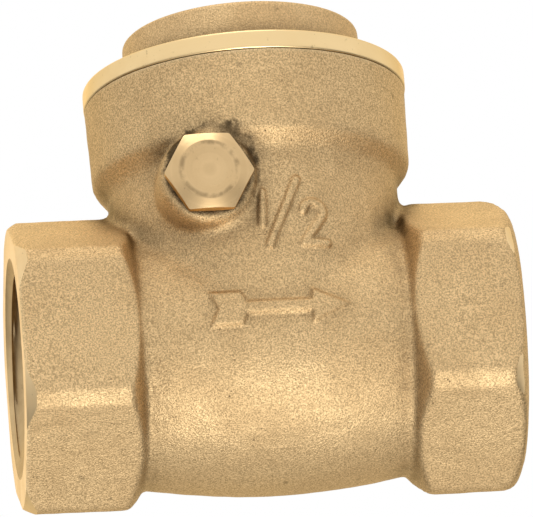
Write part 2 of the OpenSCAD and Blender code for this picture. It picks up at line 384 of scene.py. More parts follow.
class Workpiece:
    """A solid on the bench, in millimetres, that tools are joined to and cut from."""

    def __init__(self, name: str, bm: Solid, finish: Material, place: Matrix | None = None):
        """Puts a mesh on the bench.

        Args:
            name: Name of the finished piece.
            bm: The mesh, which is used up.
            finish: Material of its faces.
            place: Where the mesh goes.
        """
        self.name = name
        self.object = self._object(name, bm, finish, place)

    @staticmethod
    def _object(name: str, bm: Solid, finish: Material, place: Matrix | None) -> bpy.types.Object:
        """Makes an object from a mesh, with one material.

        Args:
            name: Name of the object.
            bm: The mesh, which is used up.
            finish: Material of its faces.
            place: Where the mesh goes.

        Returns:
            The object, in the scene.
        """
        if place is not None:
            bmesh.ops.transform(bm, matrix=place, verts=bm.verts)
        mesh = bpy.data.meshes.new(name)
        bm.to_mesh(mesh)
        bm.free()
        mesh.materials.append(finish)
        made = bpy.data.objects.new(name, mesh)
        bpy.context.scene.collection.objects.link(made)
        return made

    def _apply(self) -> None:
        """Makes the modifiers on the workpiece permanent."""
        bpy.context.view_layer.update()
        graph = bpy.context.evaluated_depsgraph_get()
        mesh = bpy.data.meshes.new_from_object(self.object.evaluated_get(graph))
        old = self.object.data
        self.object.modifiers.clear()
        self.object.data = mesh
        bpy.data.meshes.remove(old)

    def work(
        self, operation: Operation, tool: Solid, finish: Material, place: Matrix | None = None
    ) -> "Workpiece":
        """Joins a tool to the workpiece, cuts it away or keeps what it covers.

        Args:
            operation: What the tool does.
            tool: The tool's mesh, which is used up.
            finish: Material that the tool leaves on the faces it makes.
            place: Where the tool goes.

        Returns:
            The workpiece.
        """
        cutter = self._object(f"{self.name}_tool", tool, finish, place)
        modifier = self.object.modifiers.new("work", "BOOLEAN")
        modifier.operation = operation.value
        modifier.object = cutter
        modifier.solver = "MANIFOLD"
        modifier.material_mode = "TRANSFER"
        self._apply()
        mesh = cutter.data
        bpy.data.objects.remove(cutter)
        bpy.data.meshes.remove(mesh)
        return self

    def remesh(self, voxel: float) -> "Workpiece":
        """Replaces the surface with even quads, as one skin.

        Args:
            voxel: Width of the quads.

        Returns:
            The workpiece.
        """
        finish = self.object.data.materials[0]
        modifier = self.object.modifiers.new("skin", "REMESH")
        modifier.mode = "VOXEL"
        modifier.voxel_size = voxel
        self._apply()
        self.object.data.materials.clear()
        self.object.data.materials.append(finish)
        return self

    def sculpt(self, change: Callable[[Solid], None]) -> "Workpiece":
        """Lets a function change the mesh in place.

        Args:
            change: The function.

        Returns:
            The workpiece.
        """
        bm = bmesh.new()
        bm.from_mesh(self.object.data)
        change(bm)
        bm.to_mesh(self.object.data)
        bm.free()
        return self

    def as_tool(self) -> Solid:
        """Takes the workpiece off the bench, for use as a tool on another.

        Returns:
            Its mesh.
        """
        tool = bmesh.new()
        tool.from_mesh(self.object.data)
        bpy.data.objects.remove(self.object)
        return tool

    def deliver(self, body: str, node: str, slot: str, sharp: float = 32.0) -> bpy.types.Object:
        """Takes the finished piece off the bench and hands it to the frame.

        Args:
            body: The CAD body that the piece rides on.
            node: The CAD node that the piece replaces.
            slot: The record's material slot of the piece; not used.
            sharp: Edges that turn by more than this many degrees stay sharp.

        Returns:
            The piece's object, in metres.
        """
        mesh = self.object.data
        mesh.transform(Matrix.Scale(MM, 4))
        mesh.shade_smooth()
        mesh.set_sharp_from_angle(angle=math.radians(sharp))
        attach(self.object, body)
        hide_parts(node)
        LOG.info("%s: %d faces, rides on %s", self.name, len(mesh.polygons), body)
        return self.object


# --- Shader kit ---


class NodeBuilder:
    """Adds nodes to a tree and links them by name."""

    def __init__(self, tree: bpy.types.NodeTree):
        """Starts on a node tree."""
        self.tree = tree

    def add(self, kind: str, **settings: object) -> bpy.types.Node:
        """Adds a node.

        Args:
            kind: The node's type.
            **settings: Properties of the node, or values of its inputs by socket name
                with spaces written as underscores.

        Returns:
            The node.
        """
        node = self.tree.nodes.new(kind)
        inputs = {socket.name.replace(" ", "_"): socket for socket in reversed(node.inputs)}
        for key, value in settings.items():
            if key in inputs:
                self.feed(inputs[key], value)
            else:
                setattr(node, key, value)
        return node

    def feed(self, socket: Socket, value: Value) -> None:
        """Links a socket to an output, or sets its value.

        Args:
            socket: The input socket.
            value: The output socket or the plain value that it gets.
        """
        if isinstance(value, Socket):
            self.tree.links.new(value, socket)
        else:
            socket.default_value = value

    def math(self, operation: str, *values: Value, clamp: bool = False) -> Socket:
        """Adds a maths node.

        Args:
            operation: What the node works out.
            *values: Its inputs, in order.
            clamp: Whether the result is kept between 0 and 1.

        Returns:
            The result.
        """
        node = self.add("ShaderNodeMath", operation=operation, use_clamp=clamp)
        for socket, value in zip(node.inputs, values):
            self.feed(socket, value)
        return node.outputs[0]

    def times(self, first: Value, second: Value) -> Socket:
        """Returns the product of two values."""
        return self.math("MULTIPLY", first, second)

    def larger(self, first: Value, second: Value) -> Socket:
        """Returns the larger of two values."""
        return self.math("MAXIMUM", first, second)

    def noise(self, vector: Socket, scale: Value, detail: float = 2.0, rough: float = 0.5) -> Socket:
        """Returns the value of a noise texture with a scale, a detail and a roughness."""
        node = self.add("ShaderNodeTexNoise", Vector=vector, Scale=scale, Detail=detail, Roughness=rough)
        return node.outputs["Fac"]

    def span(
        self, value: Value, low: float, high: float, to_low: float = 0.0, to_high: float = 1.0
    ) -> Socket:
        """Maps a value smoothly from one range to another.

        Args:
            value: The value.
            low: Start of its range.
            high: End of its range.
            to_low: Result at the start.
            to_high: Result at the end.

        Returns:
            The result.
        """
        node = self.add("ShaderNodeMapRange", interpolation_type="SMOOTHSTEP")
        for socket, item in zip(node.inputs, (value, low, high, to_low, to_high)):
            self.feed(socket, item)
        return node.outputs[0]

    def mix(self, share: Value, first: Value, second: Value) -> Socket:
        """Mixes two colours.

        Args:
            share: Share of the second colour.
            first: The first colour.
            second: The second colour.

        Returns:
            The mixed colour.
        """
        node = self.add("ShaderNodeMix", data_type="RGBA")
        for name, value in (("Factor", share), ("A", first), ("B", second)):
            self.feed(node.inputs[name], value)
        return node.outputs["Result"]


class Effect:
    """A surface effect that several finishes share, kept as a shader node group."""

    title = "effect"
    inputs: dict[str, float] = {}
    outputs: tuple[str, ...] = ()

    @classmethod
    def group(cls) -> bpy.types.NodeTree:
        """Builds the effect's node group the first time.

        Returns:
            The node group.
        """
        found = bpy.data.node_groups.get(cls.title)
        if found:
            return found
        tree = bpy.data.node_groups.new(cls.title, "ShaderNodeTree")
        tree.interface.new_socket("Vector", in_out="INPUT", socket_type="NodeSocketVector")
        for name, value in cls.inputs.items():
            socket = tree.interface.new_socket(name, in_out="INPUT", socket_type="NodeSocketFloat")
            socket.default_value = value
        for name in cls.outputs:
            tree.interface.new_socket(name, in_out="OUTPUT", socket_type="NodeSocketFloat")
        build = NodeBuilder(tree)
        source = build.add("NodeGroupInput")
        result = build.add("NodeGroupOutput")
        for name, value in cls.draw(build, source.outputs).items():
            build.feed(result.inputs[name], value)
        return tree

    @classmethod
    def draw(cls, build: NodeBuilder, given: bpy.types.NodeOutputs) -> dict[str, Socket]:
        """Builds the group's nodes from its inputs and returns the value of each output."""
        raise NotImplementedError

    @classmethod
    def place(cls, build: NodeBuilder, **values: Value) -> bpy.types.NodeOutputs:
        """Puts the group in a material.

        Args:
            build: The builder of the material's nodes.
            **values: Values of the group's inputs.

        Returns:
            The group's outputs.
        """
        node = build.add("ShaderNodeGroup")
        node.node_tree = cls.group()
        for name, value in values.items():
            build.feed(node.inputs[name], value)
        return node.outputs


class SandSkin(Effect):
    """The skin that a sand mould leaves: fine grain, coarser lumps and small pits."""

    title = "sand_skin"
    inputs = {"Grain": 6200.0, "Lumps": 420.0, "Pits": 0.5}
    outputs = ("Height", "Pit", "Speckle")
    pit_size = 0.42
    patch_size = 0.16
    fine_share, lump_share, pit_share = 0.8, 0.9, 0.8

    @classmethod
    def draw(cls, build: NodeBuilder, given: bpy.types.NodeOutputs) -> dict[str, Socket]:
        """Builds the grain, the lumps and the pits from the group's inputs."""
        vector, grain = given["Vector"], given["Grain"]
        fine = build.noise(vector, grain, 2.0, 0.55)
        lumps = build.noise(vector, given["Lumps"], 3.0, 0.5)
        cells = build.add("ShaderNodeTexVoronoi", Vector=vector, Scale=build.times(grain, cls.pit_size))
        patch = build.noise(vector, build.times(grain, cls.patch_size), 2.0)
        dent = build.times(build.span(cells.outputs["Distance"], 0.34, 0.05), build.span(patch, 0.5, 0.72))
        pit = build.math("MULTIPLY", dent, given["Pits"], clamp=True)
        skin = build.math("ADD", build.times(fine, cls.fine_share), build.times(lumps, cls.lump_share))
        height = build.math("SUBTRACT", skin, build.times(pit, cls.pit_share))
        return {"Height": height, "Pit": pit, "Speckle": build.span(fine, 0.3, 0.7)}


class TurnedRings(Effect):
    """The fine rings that a lathe tool leaves about the Z axis of the vector."""

    title = "turned_rings"
    inputs = {"Spacing": 0.00012}
    outputs = ("Height", "Sheen", "Radius")
    broad_share = 0.12

    @classmethod
    def draw(cls, build: NodeBuilder, given: bpy.types.NodeOutputs) -> dict[str, Socket]:
        """Builds rings that vary in depth with the radius and the height."""
        split = build.add("ShaderNodeSeparateXYZ", Vector=given["Vector"]).outputs
        squares = [build.times(split[axis], split[axis]) for axis in "XY"]
        radius = build.math("SQRT", build.math("ADD", *squares))
        path = build.add("ShaderNodeCombineXYZ", X=radius, Y=split["Z"], Z=0.0).outputs[0]
        scale = build.math("DIVIDE", 1.0, given["Spacing"])
        rings = build.noise(path, scale, 3.0, 0.65)
        broad = build.noise(path, build.times(scale, cls.broad_share), 2.0)
        return {"Height": rings, "Sheen": build.span(broad, 0.3, 0.7), "Radius": radius}


class Handling(Effect):
    """Smudges and faint stains from storage and hands."""

    title = "handling"
    inputs = {"Scale": 120.0}
    outputs = ("Smudge", "Stain")
    stain_scale = 7.0

    @classmethod
    def draw(cls, build: NodeBuilder, given: bpy.types.NodeOutputs) -> dict[str, Socket]:
        """Builds broad smudges and a few small stains."""
        smudge = build.noise(given["Vector"], given["Scale"], 4.0, 0.6)
        spots = build.noise(given["Vector"], build.times(given["Scale"], cls.stain_scale), 2.0, 0.5)
        return {"Smudge": build.span(smudge, 0.35, 0.68), "Stain": build.span(spots, 0.66, 0.8)}


class Creases(Effect):
    """Painted shade where the surface folds in, and worn edges where it stands out and is rubbed."""

    title = "creases"
    inputs = {"Reach": 0.0036, "Edge": 0.0007}
    outputs = ("CreaseShade", "Rubbed")
    patch_scale = 900.0

    @classmethod
    def draw(cls, build: NodeBuilder, given: bpy.types.NodeOutputs) -> dict[str, Socket]:
        """Reads painted shade in hollows from near occlusion outside the metal, and worn edges from occlusion
        inside it.
        """
        hidden = build.add("ShaderNodeAmbientOcclusion", samples=6, Distance=given["Reach"])
        thin = build.add("ShaderNodeAmbientOcclusion", samples=6, inside=True, Distance=given["Edge"])
        patchy = build.span(build.noise(given["Vector"], cls.patch_scale, 2.0), 0.35, 0.6, 0.75, 1.0)
        # Painted shade: near occlusion darkens folds and hollows, where shade falls, broken up in patches.
        hollow = build.times(build.span(hidden.outputs["AO"], 0.96, 0.6), patchy)
        rubbed = build.times(build.span(thin.outputs["AO"], 0.8, 0.45), patchy)
        return {"CreaseShade": hollow, "Rubbed": rubbed}


def new_material(name: str) -> tuple[Material, NodeBuilder, bpy.types.Node, Socket]:
    """Makes an empty Principled material.

    Args:
        name: The material's name.

    Returns:
        The material, a builder for its nodes, its Principled node and its object coordinates.
    """
    material = bpy.data.materials.new(name)
    material.use_nodes = True
    build = NodeBuilder(material.node_tree)
    shader = material.node_tree.nodes["Principled BSDF"]
    place = build.add("ShaderNodeTexCoord").outputs["Object"]
    return material, build, shader, place


def set_metal(shader: bpy.types.Node, edge: Colour) -> None:
    """Makes a shader metallic, with a tint for reflections at a glancing angle."""
    shader.inputs["Metallic"].default_value = 1.0
    shader.inputs["Specular Tint"].default_value = edge


def set_relief(build: NodeBuilder, shader: bpy.types.Node, height: Socket, depth: float) -> None:
    """Gives a shader the relief of a height, at a depth in metres."""
    bump = build.add("ShaderNodeBump", Strength=1.0, Distance=depth, Height=height)
    build.feed(shader.inputs["Normal"], bump.outputs[0])


def colour(red: float, green: float, blue: float) -> Colour:
    """Returns a linear colour with full alpha."""
    return red, green, blue, 1.0


BRASS_EDGE = colour(0.86, 0.68, 0.42)
NEUTRAL_EDGE = colour(1.0, 1.0, 1.0)
RUBBED_BRASS = colour(0.95, 0.73, 0.42)
# Dark colours for real dirt and stains, and for painted shade in creases and hollows.
CAST_DIRT_AND_SHADE = colour(0.06, 0.04, 0.021)
CUT_DIRT_AND_SHADE = colour(0.12, 0.075, 0.035)


@dataclass(frozen=True)
class CastBrass:
    """Sand-cast brass, grainy and a little dull.

    Args:
        name: The material's name.
        bright: Colour of the raised grains.
        deep: Colour between the grains.
        roughness: How dull the skin is.
        depth: Depth of the grain, in metres.
        dark_patch_centre: The middle of a ragged darker patch, in metres, or None.
        dark_patch_reach: Radius of that patch, in metres.
        dark_patch_fade: Width of its edge, in metres.
        ragged: How far its edge wanders, in metres.
        hollow, stain, smudge, rubbed: How strongly each of these shows in the colour; hollow is painted shade
            in the creases.
    """

    name: str
    bright: Colour = colour(0.92, 0.655, 0.345)
    deep: Colour = colour(0.47, 0.325, 0.16)
    roughness: float = 0.5
    depth: float = 0.0001
    dark_patch_centre: tuple[float, float, float] | None = None
    dark_patch_reach: float = 0.0048
    dark_patch_fade: float = 0.0004
    ragged: float = 0.0012
    hollow: float = 0.95
    stain: float = 0.35
    smudge: float = 0.22
    rubbed: float = 0.5

    def dark_patch(self, build: NodeBuilder, place: Socket) -> Value:
        """Darkens a ragged patch round the patch's centre.

        Args:
            build: The builder of the material's nodes.
            place: The object coordinates.

        Returns:
            How dark the patch is at each point.
        """
        if self.dark_patch_centre is None:
            return 0.0
        gap = build.add("ShaderNodeVectorMath", operation="DISTANCE")
        build.feed(gap.inputs[0], place)
        build.feed(gap.inputs[1], self.dark_patch_centre)
        wander = build.times(build.noise(place, 1100.0, 3.0, 0.6), 2 * self.ragged)
        reach = build.math("ADD", build.math("SUBTRACT", gap.outputs["Value"], wander), self.ragged)
        patches = build.span(build.noise(place, 420.0, 2.0), 0.36, 0.6, 0.3, 0.92)
        inner, outer = self.dark_patch_reach - self.dark_patch_fade, self.dark_patch_reach + self.dark_patch_fade
        return build.times(build.span(reach, outer, inner), patches)

    def build(self) -> Material:
        """Builds the material.

        Returns:
            The material.
        """
        material, build, shader, place = new_material(self.name)
        skin = SandSkin.place(build, Vector=place)
        hands = Handling.place(build, Vector=place)
        folds = Creases.place(build, Vector=place)
        tone = build.mix(skin["Speckle"], self.deep, self.bright)
        tone = build.mix(build.times(hands["Smudge"], self.smudge), tone, self.deep)
        tone = build.mix(build.times(folds["Rubbed"], self.rubbed), tone, RUBBED_BRASS)
        # Painted shade in the creases, from near occlusion, joins the real pits, stains and the dark patch.
        dirt_and_shade = build.larger(build.times(folds["CreaseShade"], self.hollow), skin["Pit"])
        dirt_and_shade = build.larger(dirt_and_shade, build.times(hands["Stain"], self.stain))
        dirt_and_shade = build.larger(dirt_and_shade, self.dark_patch(build, place))
        build.feed(shader.inputs["Base Color"], build.mix(dirt_and_shade, tone, CAST_DIRT_AND_SHADE))
        rough = build.math("ADD", self.roughness, build.times(hands["Smudge"], 0.1))
        rough = build.math("SUBTRACT", rough, build.times(folds["Rubbed"], 0.15))
        build.feed(shader.inputs["Roughness"], rough)
        set_metal(shader, BRASS_EDGE)
        set_relief(build, shader, skin["Height"], self.depth)
        return material


class RingAxis(Enum):
    """The axis that a turned finish's rings run about, as the turn that brings it to Z."""

    PIPE = (0.0, math.radians(-90.0), 0.0)
    CAP = (0.0, 0.0, 0.0)
    PIN = (math.radians(-90.0), 0.0, 0.0)
    SEAT = (0.0, math.radians(-80.0), 0.0)


@dataclass(frozen=True)
class TurnedMetal:
    """Metal turned on a lathe, with fine rings about its own axis.

    Args:
        name: The material's name.
        light: Colour of the fresh cut.
        dark: Colour where it has tarnished.
        axis: The axis of the rings.
        centre: A point on that axis, in metres.
        roughness: How dull the cut is.
        spacing: Distance between rings, in metres.
        depth: Depth of the rings, in metres.
        edge: Tint of reflections at a glancing angle.
        crease_shade: How much dirt stays in its hollows.
        dried: Radius of a ring where grease has dried on the face, in metres, or 0 for none.
    """

    name: str
    light: Colour = colour(0.80, 0.56, 0.29)
    dark: Colour = colour(0.60, 0.41, 0.20)
    axis: RingAxis = RingAxis.PIPE
    centre: tuple[float, float, float] = (0.0, 0.0, 0.0)
    roughness: float = 0.28
    spacing: float = 0.00012
    depth: float = 0.000006
    edge: Colour = BRASS_EDGE
    # crease_shade: How much painted shade darkens its hollows.
    crease_shade: float = 0.7
    dried: float = 0.0

    def dried_ring(self, build: NodeBuilder, radius: Socket, place: Socket) -> Value:
        """Draws the dried ring, broken up along its way.

        Args:
            build: The builder of the material's nodes.
            radius: Distance from the axis of the rings.
            place: The object coordinates.

        Returns:
            How dark the ring is at each point.
        """
        if not self.dried:
            return 0.0
        gap = build.math("ABSOLUTE", build.math("SUBTRACT", radius, self.dried))
        broken = build.span(build.noise(place, 700.0, 3.0, 0.6), 0.36, 0.62, 0.0, 0.5)
        return build.times(build.span(gap, 0.00042, 0.00005), broken)

    def build(self) -> Material:
        """Builds the material.

        Returns:
            The material.
        """
        material, build, shader, place = new_material(self.name)
        offset = build.add("ShaderNodeVectorMath", operation="SUBTRACT")
        build.feed(offset.inputs[0], place)
        build.feed(offset.inputs[1], self.centre)
        turned = build.add(
            "ShaderNodeMapping", vector_type="POINT", Vector=offset.outputs[0], Rotation=self.axis.value
        )
        rings = TurnedRings.place(build, Vector=turned.outputs[0], Spacing=self.spacing)
        hands = Handling.place(build, Vector=place, Scale=260.0)
        folds = Creases.place(build, Vector=place, Reach=0.0012)
        tone = build.mix(build.times(rings["Sheen"], 0.35), self.light, self.dark)
        tone = build.mix(build.times(hands["Smudge"], 0.3), tone, self.dark)
        # Painted shade in the hollows, from near occlusion, joins real stains and the dried ring.
        dirt_and_shade = build.larger(build.times(folds["CreaseShade"], self.crease_shade), build.times(hands["Stain"], 0.3))
        dirt_and_shade = build.larger(dirt_and_shade, self.dried_ring(build, rings["Radius"], place))
        build.feed(shader.inputs["Base Color"], build.mix(dirt_and_shade, tone, CUT_DIRT_AND_SHADE))
        rough = build.math("ADD", self.roughness, build.times(hands["Smudge"], 0.14))
        build.feed(shader.inputs["Roughness"], rough)
        set_metal(shader, self.edge)
        set_relief(build, shader, rings["Height"], self.depth)
        return material


@dataclass(frozen=True)
class SoftSeal:
    """Rubber or fibre that seals a joint.

    Args:
        name: The material's name.
        tone: Its main colour.
        bloom: Its colour where it has dulled.
        roughness: How dull it is.
    """

    name: str
    tone: Colour
    bloom: Colour
    roughness: float = 0.6

    def build(self) -> Material:
        """Builds the material.

        Returns:
            The material.
        """
        material, build, shader, place = new_material(self.name)
        hands = Handling.place(build, Vector=place, Scale=400.0)
        grain = build.noise(place, 6000.0, 3.0)
        build.feed(shader.inputs["Base Color"], build.mix(hands["Smudge"], self.tone, self.bloom))
        rough = build.span(grain, 0.2, 0.8, self.roughness - 0.08, self.roughness + 0.12)
        build.feed(shader.inputs["Roughness"], rough)
        set_relief(build, shader, grain, 0.00001)
        return material


class Finishes:
    """Every finish of the valve, built once."""

    def __init__(self, layout: Layout):
        """Builds the materials.

        Args:
            layout: The shared places of the valve.
        """
        middle = (layout.middle * MM, 0.0, 0.0)
        pin, seat = tuple(layout.pin * MM), tuple(layout.seat * MM)
        # The middle of a ragged darker patch round the plug's head on the boss.
        dark_patch_place = tuple((layout.pin + Vector((0.5, -15.4, 1.0))) * MM)
        grey, pale_grey = colour(0.46, 0.47, 0.48), colour(0.62, 0.63, 0.64)
        self.cast = CastBrass("cast_brass_skin", dark_patch_centre=dark_patch_place).build()
        self.cap_cast = CastBrass("cast_brass_boss", deep=colour(0.6, 0.42, 0.215), roughness=0.52).build()
        self.port_cut = TurnedMetal(
            "turned_ports", colour(1.0, 0.745, 0.41), colour(0.86, 0.62, 0.33), roughness=0.34, crease_shade=0.3
        ).build()
        self.bore_cut = TurnedMetal(
            "threaded_bore", colour(0.74, 0.54, 0.29), colour(0.4, 0.28, 0.14), roughness=0.42, crease_shade=0.5
        ).build()
        self.cap_cut = TurnedMetal(
            "turned_rim", colour(1.0, 0.74, 0.385), colour(0.93, 0.685, 0.35), RingAxis.CAP, middle
        ).build()
        self.pin_cut = TurnedMetal("turned_plug", axis=RingAxis.PIN, centre=pin, dried=0.0028).build()
        self.seat_cut = TurnedMetal("turned_disc", axis=RingAxis.SEAT, centre=seat).build()
        self.hanger_cast = CastBrass("cast_hanger", depth=0.00002, roughness=0.4).build()
        self.steel = TurnedMetal("ground_pin", pale_grey, grey, RingAxis.PIN, pin, edge=NEUTRAL_EDGE).build()
        self.stainless = TurnedMetal(
            "bright_stainless", colour(0.72, 0.73, 0.73), grey, RingAxis.SEAT, seat, edge=NEUTRAL_EDGE
        ).build()
        copper, worn_copper = colour(0.85, 0.45, 0.27), colour(0.42, 0.18, 0.09)
        self.copper = TurnedMetal(
            "soft_copper", copper, worn_copper, RingAxis.PIN, pin, roughness=0.4
        ).build()
        black, dull_black = colour(0.018, 0.018, 0.019), colour(0.05, 0.05, 0.05)
        self.rubber = SoftSeal("nitrile_rubber", black, dull_black).build()
        self.fibre = SoftSeal("fibre_gasket", colour(0.72, 0.69, 0.6), colour(0.55, 0.5, 0.4)).build()


# --- The casting ---

PIPE_THREAD = Thread(major=10.48, minor=9.32, pitch=1.814)
CAP_THREAD = Thread(major=14.0, minor=13.2, pitch=1.5)
PLUG_THREAD = Thread(major=3.0, minor=2.55, pitch=0.75)
STUD_THREAD = Thread(major=1.75, minor=1.45, pitch=0.6)
SCREW_THREAD = Thread(major=1.25, minor=1.0, pitch=0.45)


def distance_to_side(x: float, z: float, start: Point, end: Point) -> float:
    """Measures from a point to a straight side.

    Args:
        x: The point's place across.
        z: The point's height.
        start: The side's first end.
        end: The side's other end.

    Returns:
        The distance.
    """
    dx, dz = end[0] - start[0], end[1] - start[1]
    share = ((x - start[0]) * dx + (z - start[1]) * dz) / (dx * dx + dz * dz)
    share = min(1.0, max(0.0, share))
    return math.hypot(x - start[0] - share * dx, z - start[1] - share * dz)


def distance_to_line(x: float, z: float, points: Outline) -> float:
    """Returns the distance of a point, at x across and height z, from an open line."""
    return min(distance_to_side(x, z, start, end) for start, end in zip(points, points[1:]))


def distance_to_shape(x: float, z: float, shape: Outline) -> float:
    """Measures from a point to a closed flat shape.

    Args:
        x: The point's place across.
        z: The point's height.
        shape: The shape's corners.

    Returns:
        The distance, negative inside the shape.
    """
    inside = False
    for (ax, az), (bx, bz) in zip([shape[-1], *shape], shape):
        if (az > z) != (bz > z) and x < ax + (z - az) * (bx - ax) / (bz - az):
            inside = not inside
    nearest = distance_to_line(x, z, [shape[-1], *shape])
    return -nearest if inside else nearest


@dataclass(frozen=True)
class RaisedMarks:
    """The flow arrow and the plain half-inch size mark on the front of the casting.

    Places are distances from the valve's middle and heights above the pipe's axis.

    Args:
        arrow_relief, figure_relief: How far the arrow and the figures stand out.
        arrow_slope, figure_slope: Width of their sloping sides.
        arrow_z: Height of the arrow's middle line.
        tail_x, tail_end: Where the tail starts and ends.
        head_x, tip_x: Where the head starts and ends.
        half_height, shaft_half: Half the height of the head and the tail, and of the shaft.
        notch: Depth of the notch in the tail.
        stroke_half: Half the width of the figures' strokes.
    """

    arrow_relief: float = 0.45
    arrow_slope: float = 0.66
    figure_relief: float = 0.38
    figure_slope: float = 0.56
    arrow_z: float = 0.65
    tail_x: float = -6.3
    tail_end: float = -3.2
    head_x: float = 3.9
    tip_x: float = 7.5
    half_height: float = 1.7
    shaft_half: float = 0.62
    notch: float = 0.8
    stroke_half: float = 0.4

    def arrow(self) -> list[Outline]:
        """Draws the arrow.

        Returns:
            The outlines of its tail, its shaft and its head.
        """
        z, half, thin = self.arrow_z, self.half_height, self.shaft_half
        tail = [
            (self.tail_x, z + half),
            (self.tail_end, z + half),
            (self.tail_end + 0.5, z + 0.9),
            (self.tail_end + 0.5, z - 0.9),
            (self.tail_end, z - half),
            (self.tail_x, z - half),
            (self.tail_x + self.notch, z),
        ]
        start, end = self.tail_end, self.head_x + 0.3
        shaft = [(start, z - thin), (end, z - thin), (end, z + thin), (start, z + thin)]
        head = [(self.head_x, z + half), (self.tip_x, z), (self.head_x, z - half), (self.head_x - 0.3, z)]
        return [tail, shaft, head]

    def figures(self) -> list[Outline]:
        """Draws a plain one, a slash and a plain two.

        Returns:
            The middle lines of their strokes.
        """
        turns = [math.radians(170.0 - 22.0 * i) for i in range(10)]
        bowl = [(4.55 + math.cos(a), 10.3 + math.sin(a)) for a in turns]
        return [[(-0.4, 12.3), (-0.55, 9.1)], [(3.1, 13.6), (0.05, 6.9)], [*bowl, (3.5, 7.1), (5.75, 7.1)]]

    def gaps(self, x: float, z: float) -> tuple[float, float]:
        """Returns a point's distances from the arrow and from the figures, negative inside them."""
        arrow = min(distance_to_shape(x, z, shape) for shape in self.arrow())
        return arrow, min(distance_to_line(x, z, line) for line in self.figures()) - self.stroke_half

    def lift(self, x: float, z: float) -> float:
        """Finds how far the surface stands out.

        Args:
            x: The point's place across.
            z: The point's height.

        Returns:
            The height of the relief there.
        """
        arrow, figures = self.gaps(x, z)
        heights = []
        for gap, relief, slope in (
            (arrow, self.arrow_relief, self.arrow_slope),
            (figures, self.figure_relief, self.figure_slope),
        ):
            share = min(1.0, max(0.0, 0.5 - gap / slope))
            heights.append(relief * share * share * (3 - 2 * share))
        return max(heights)


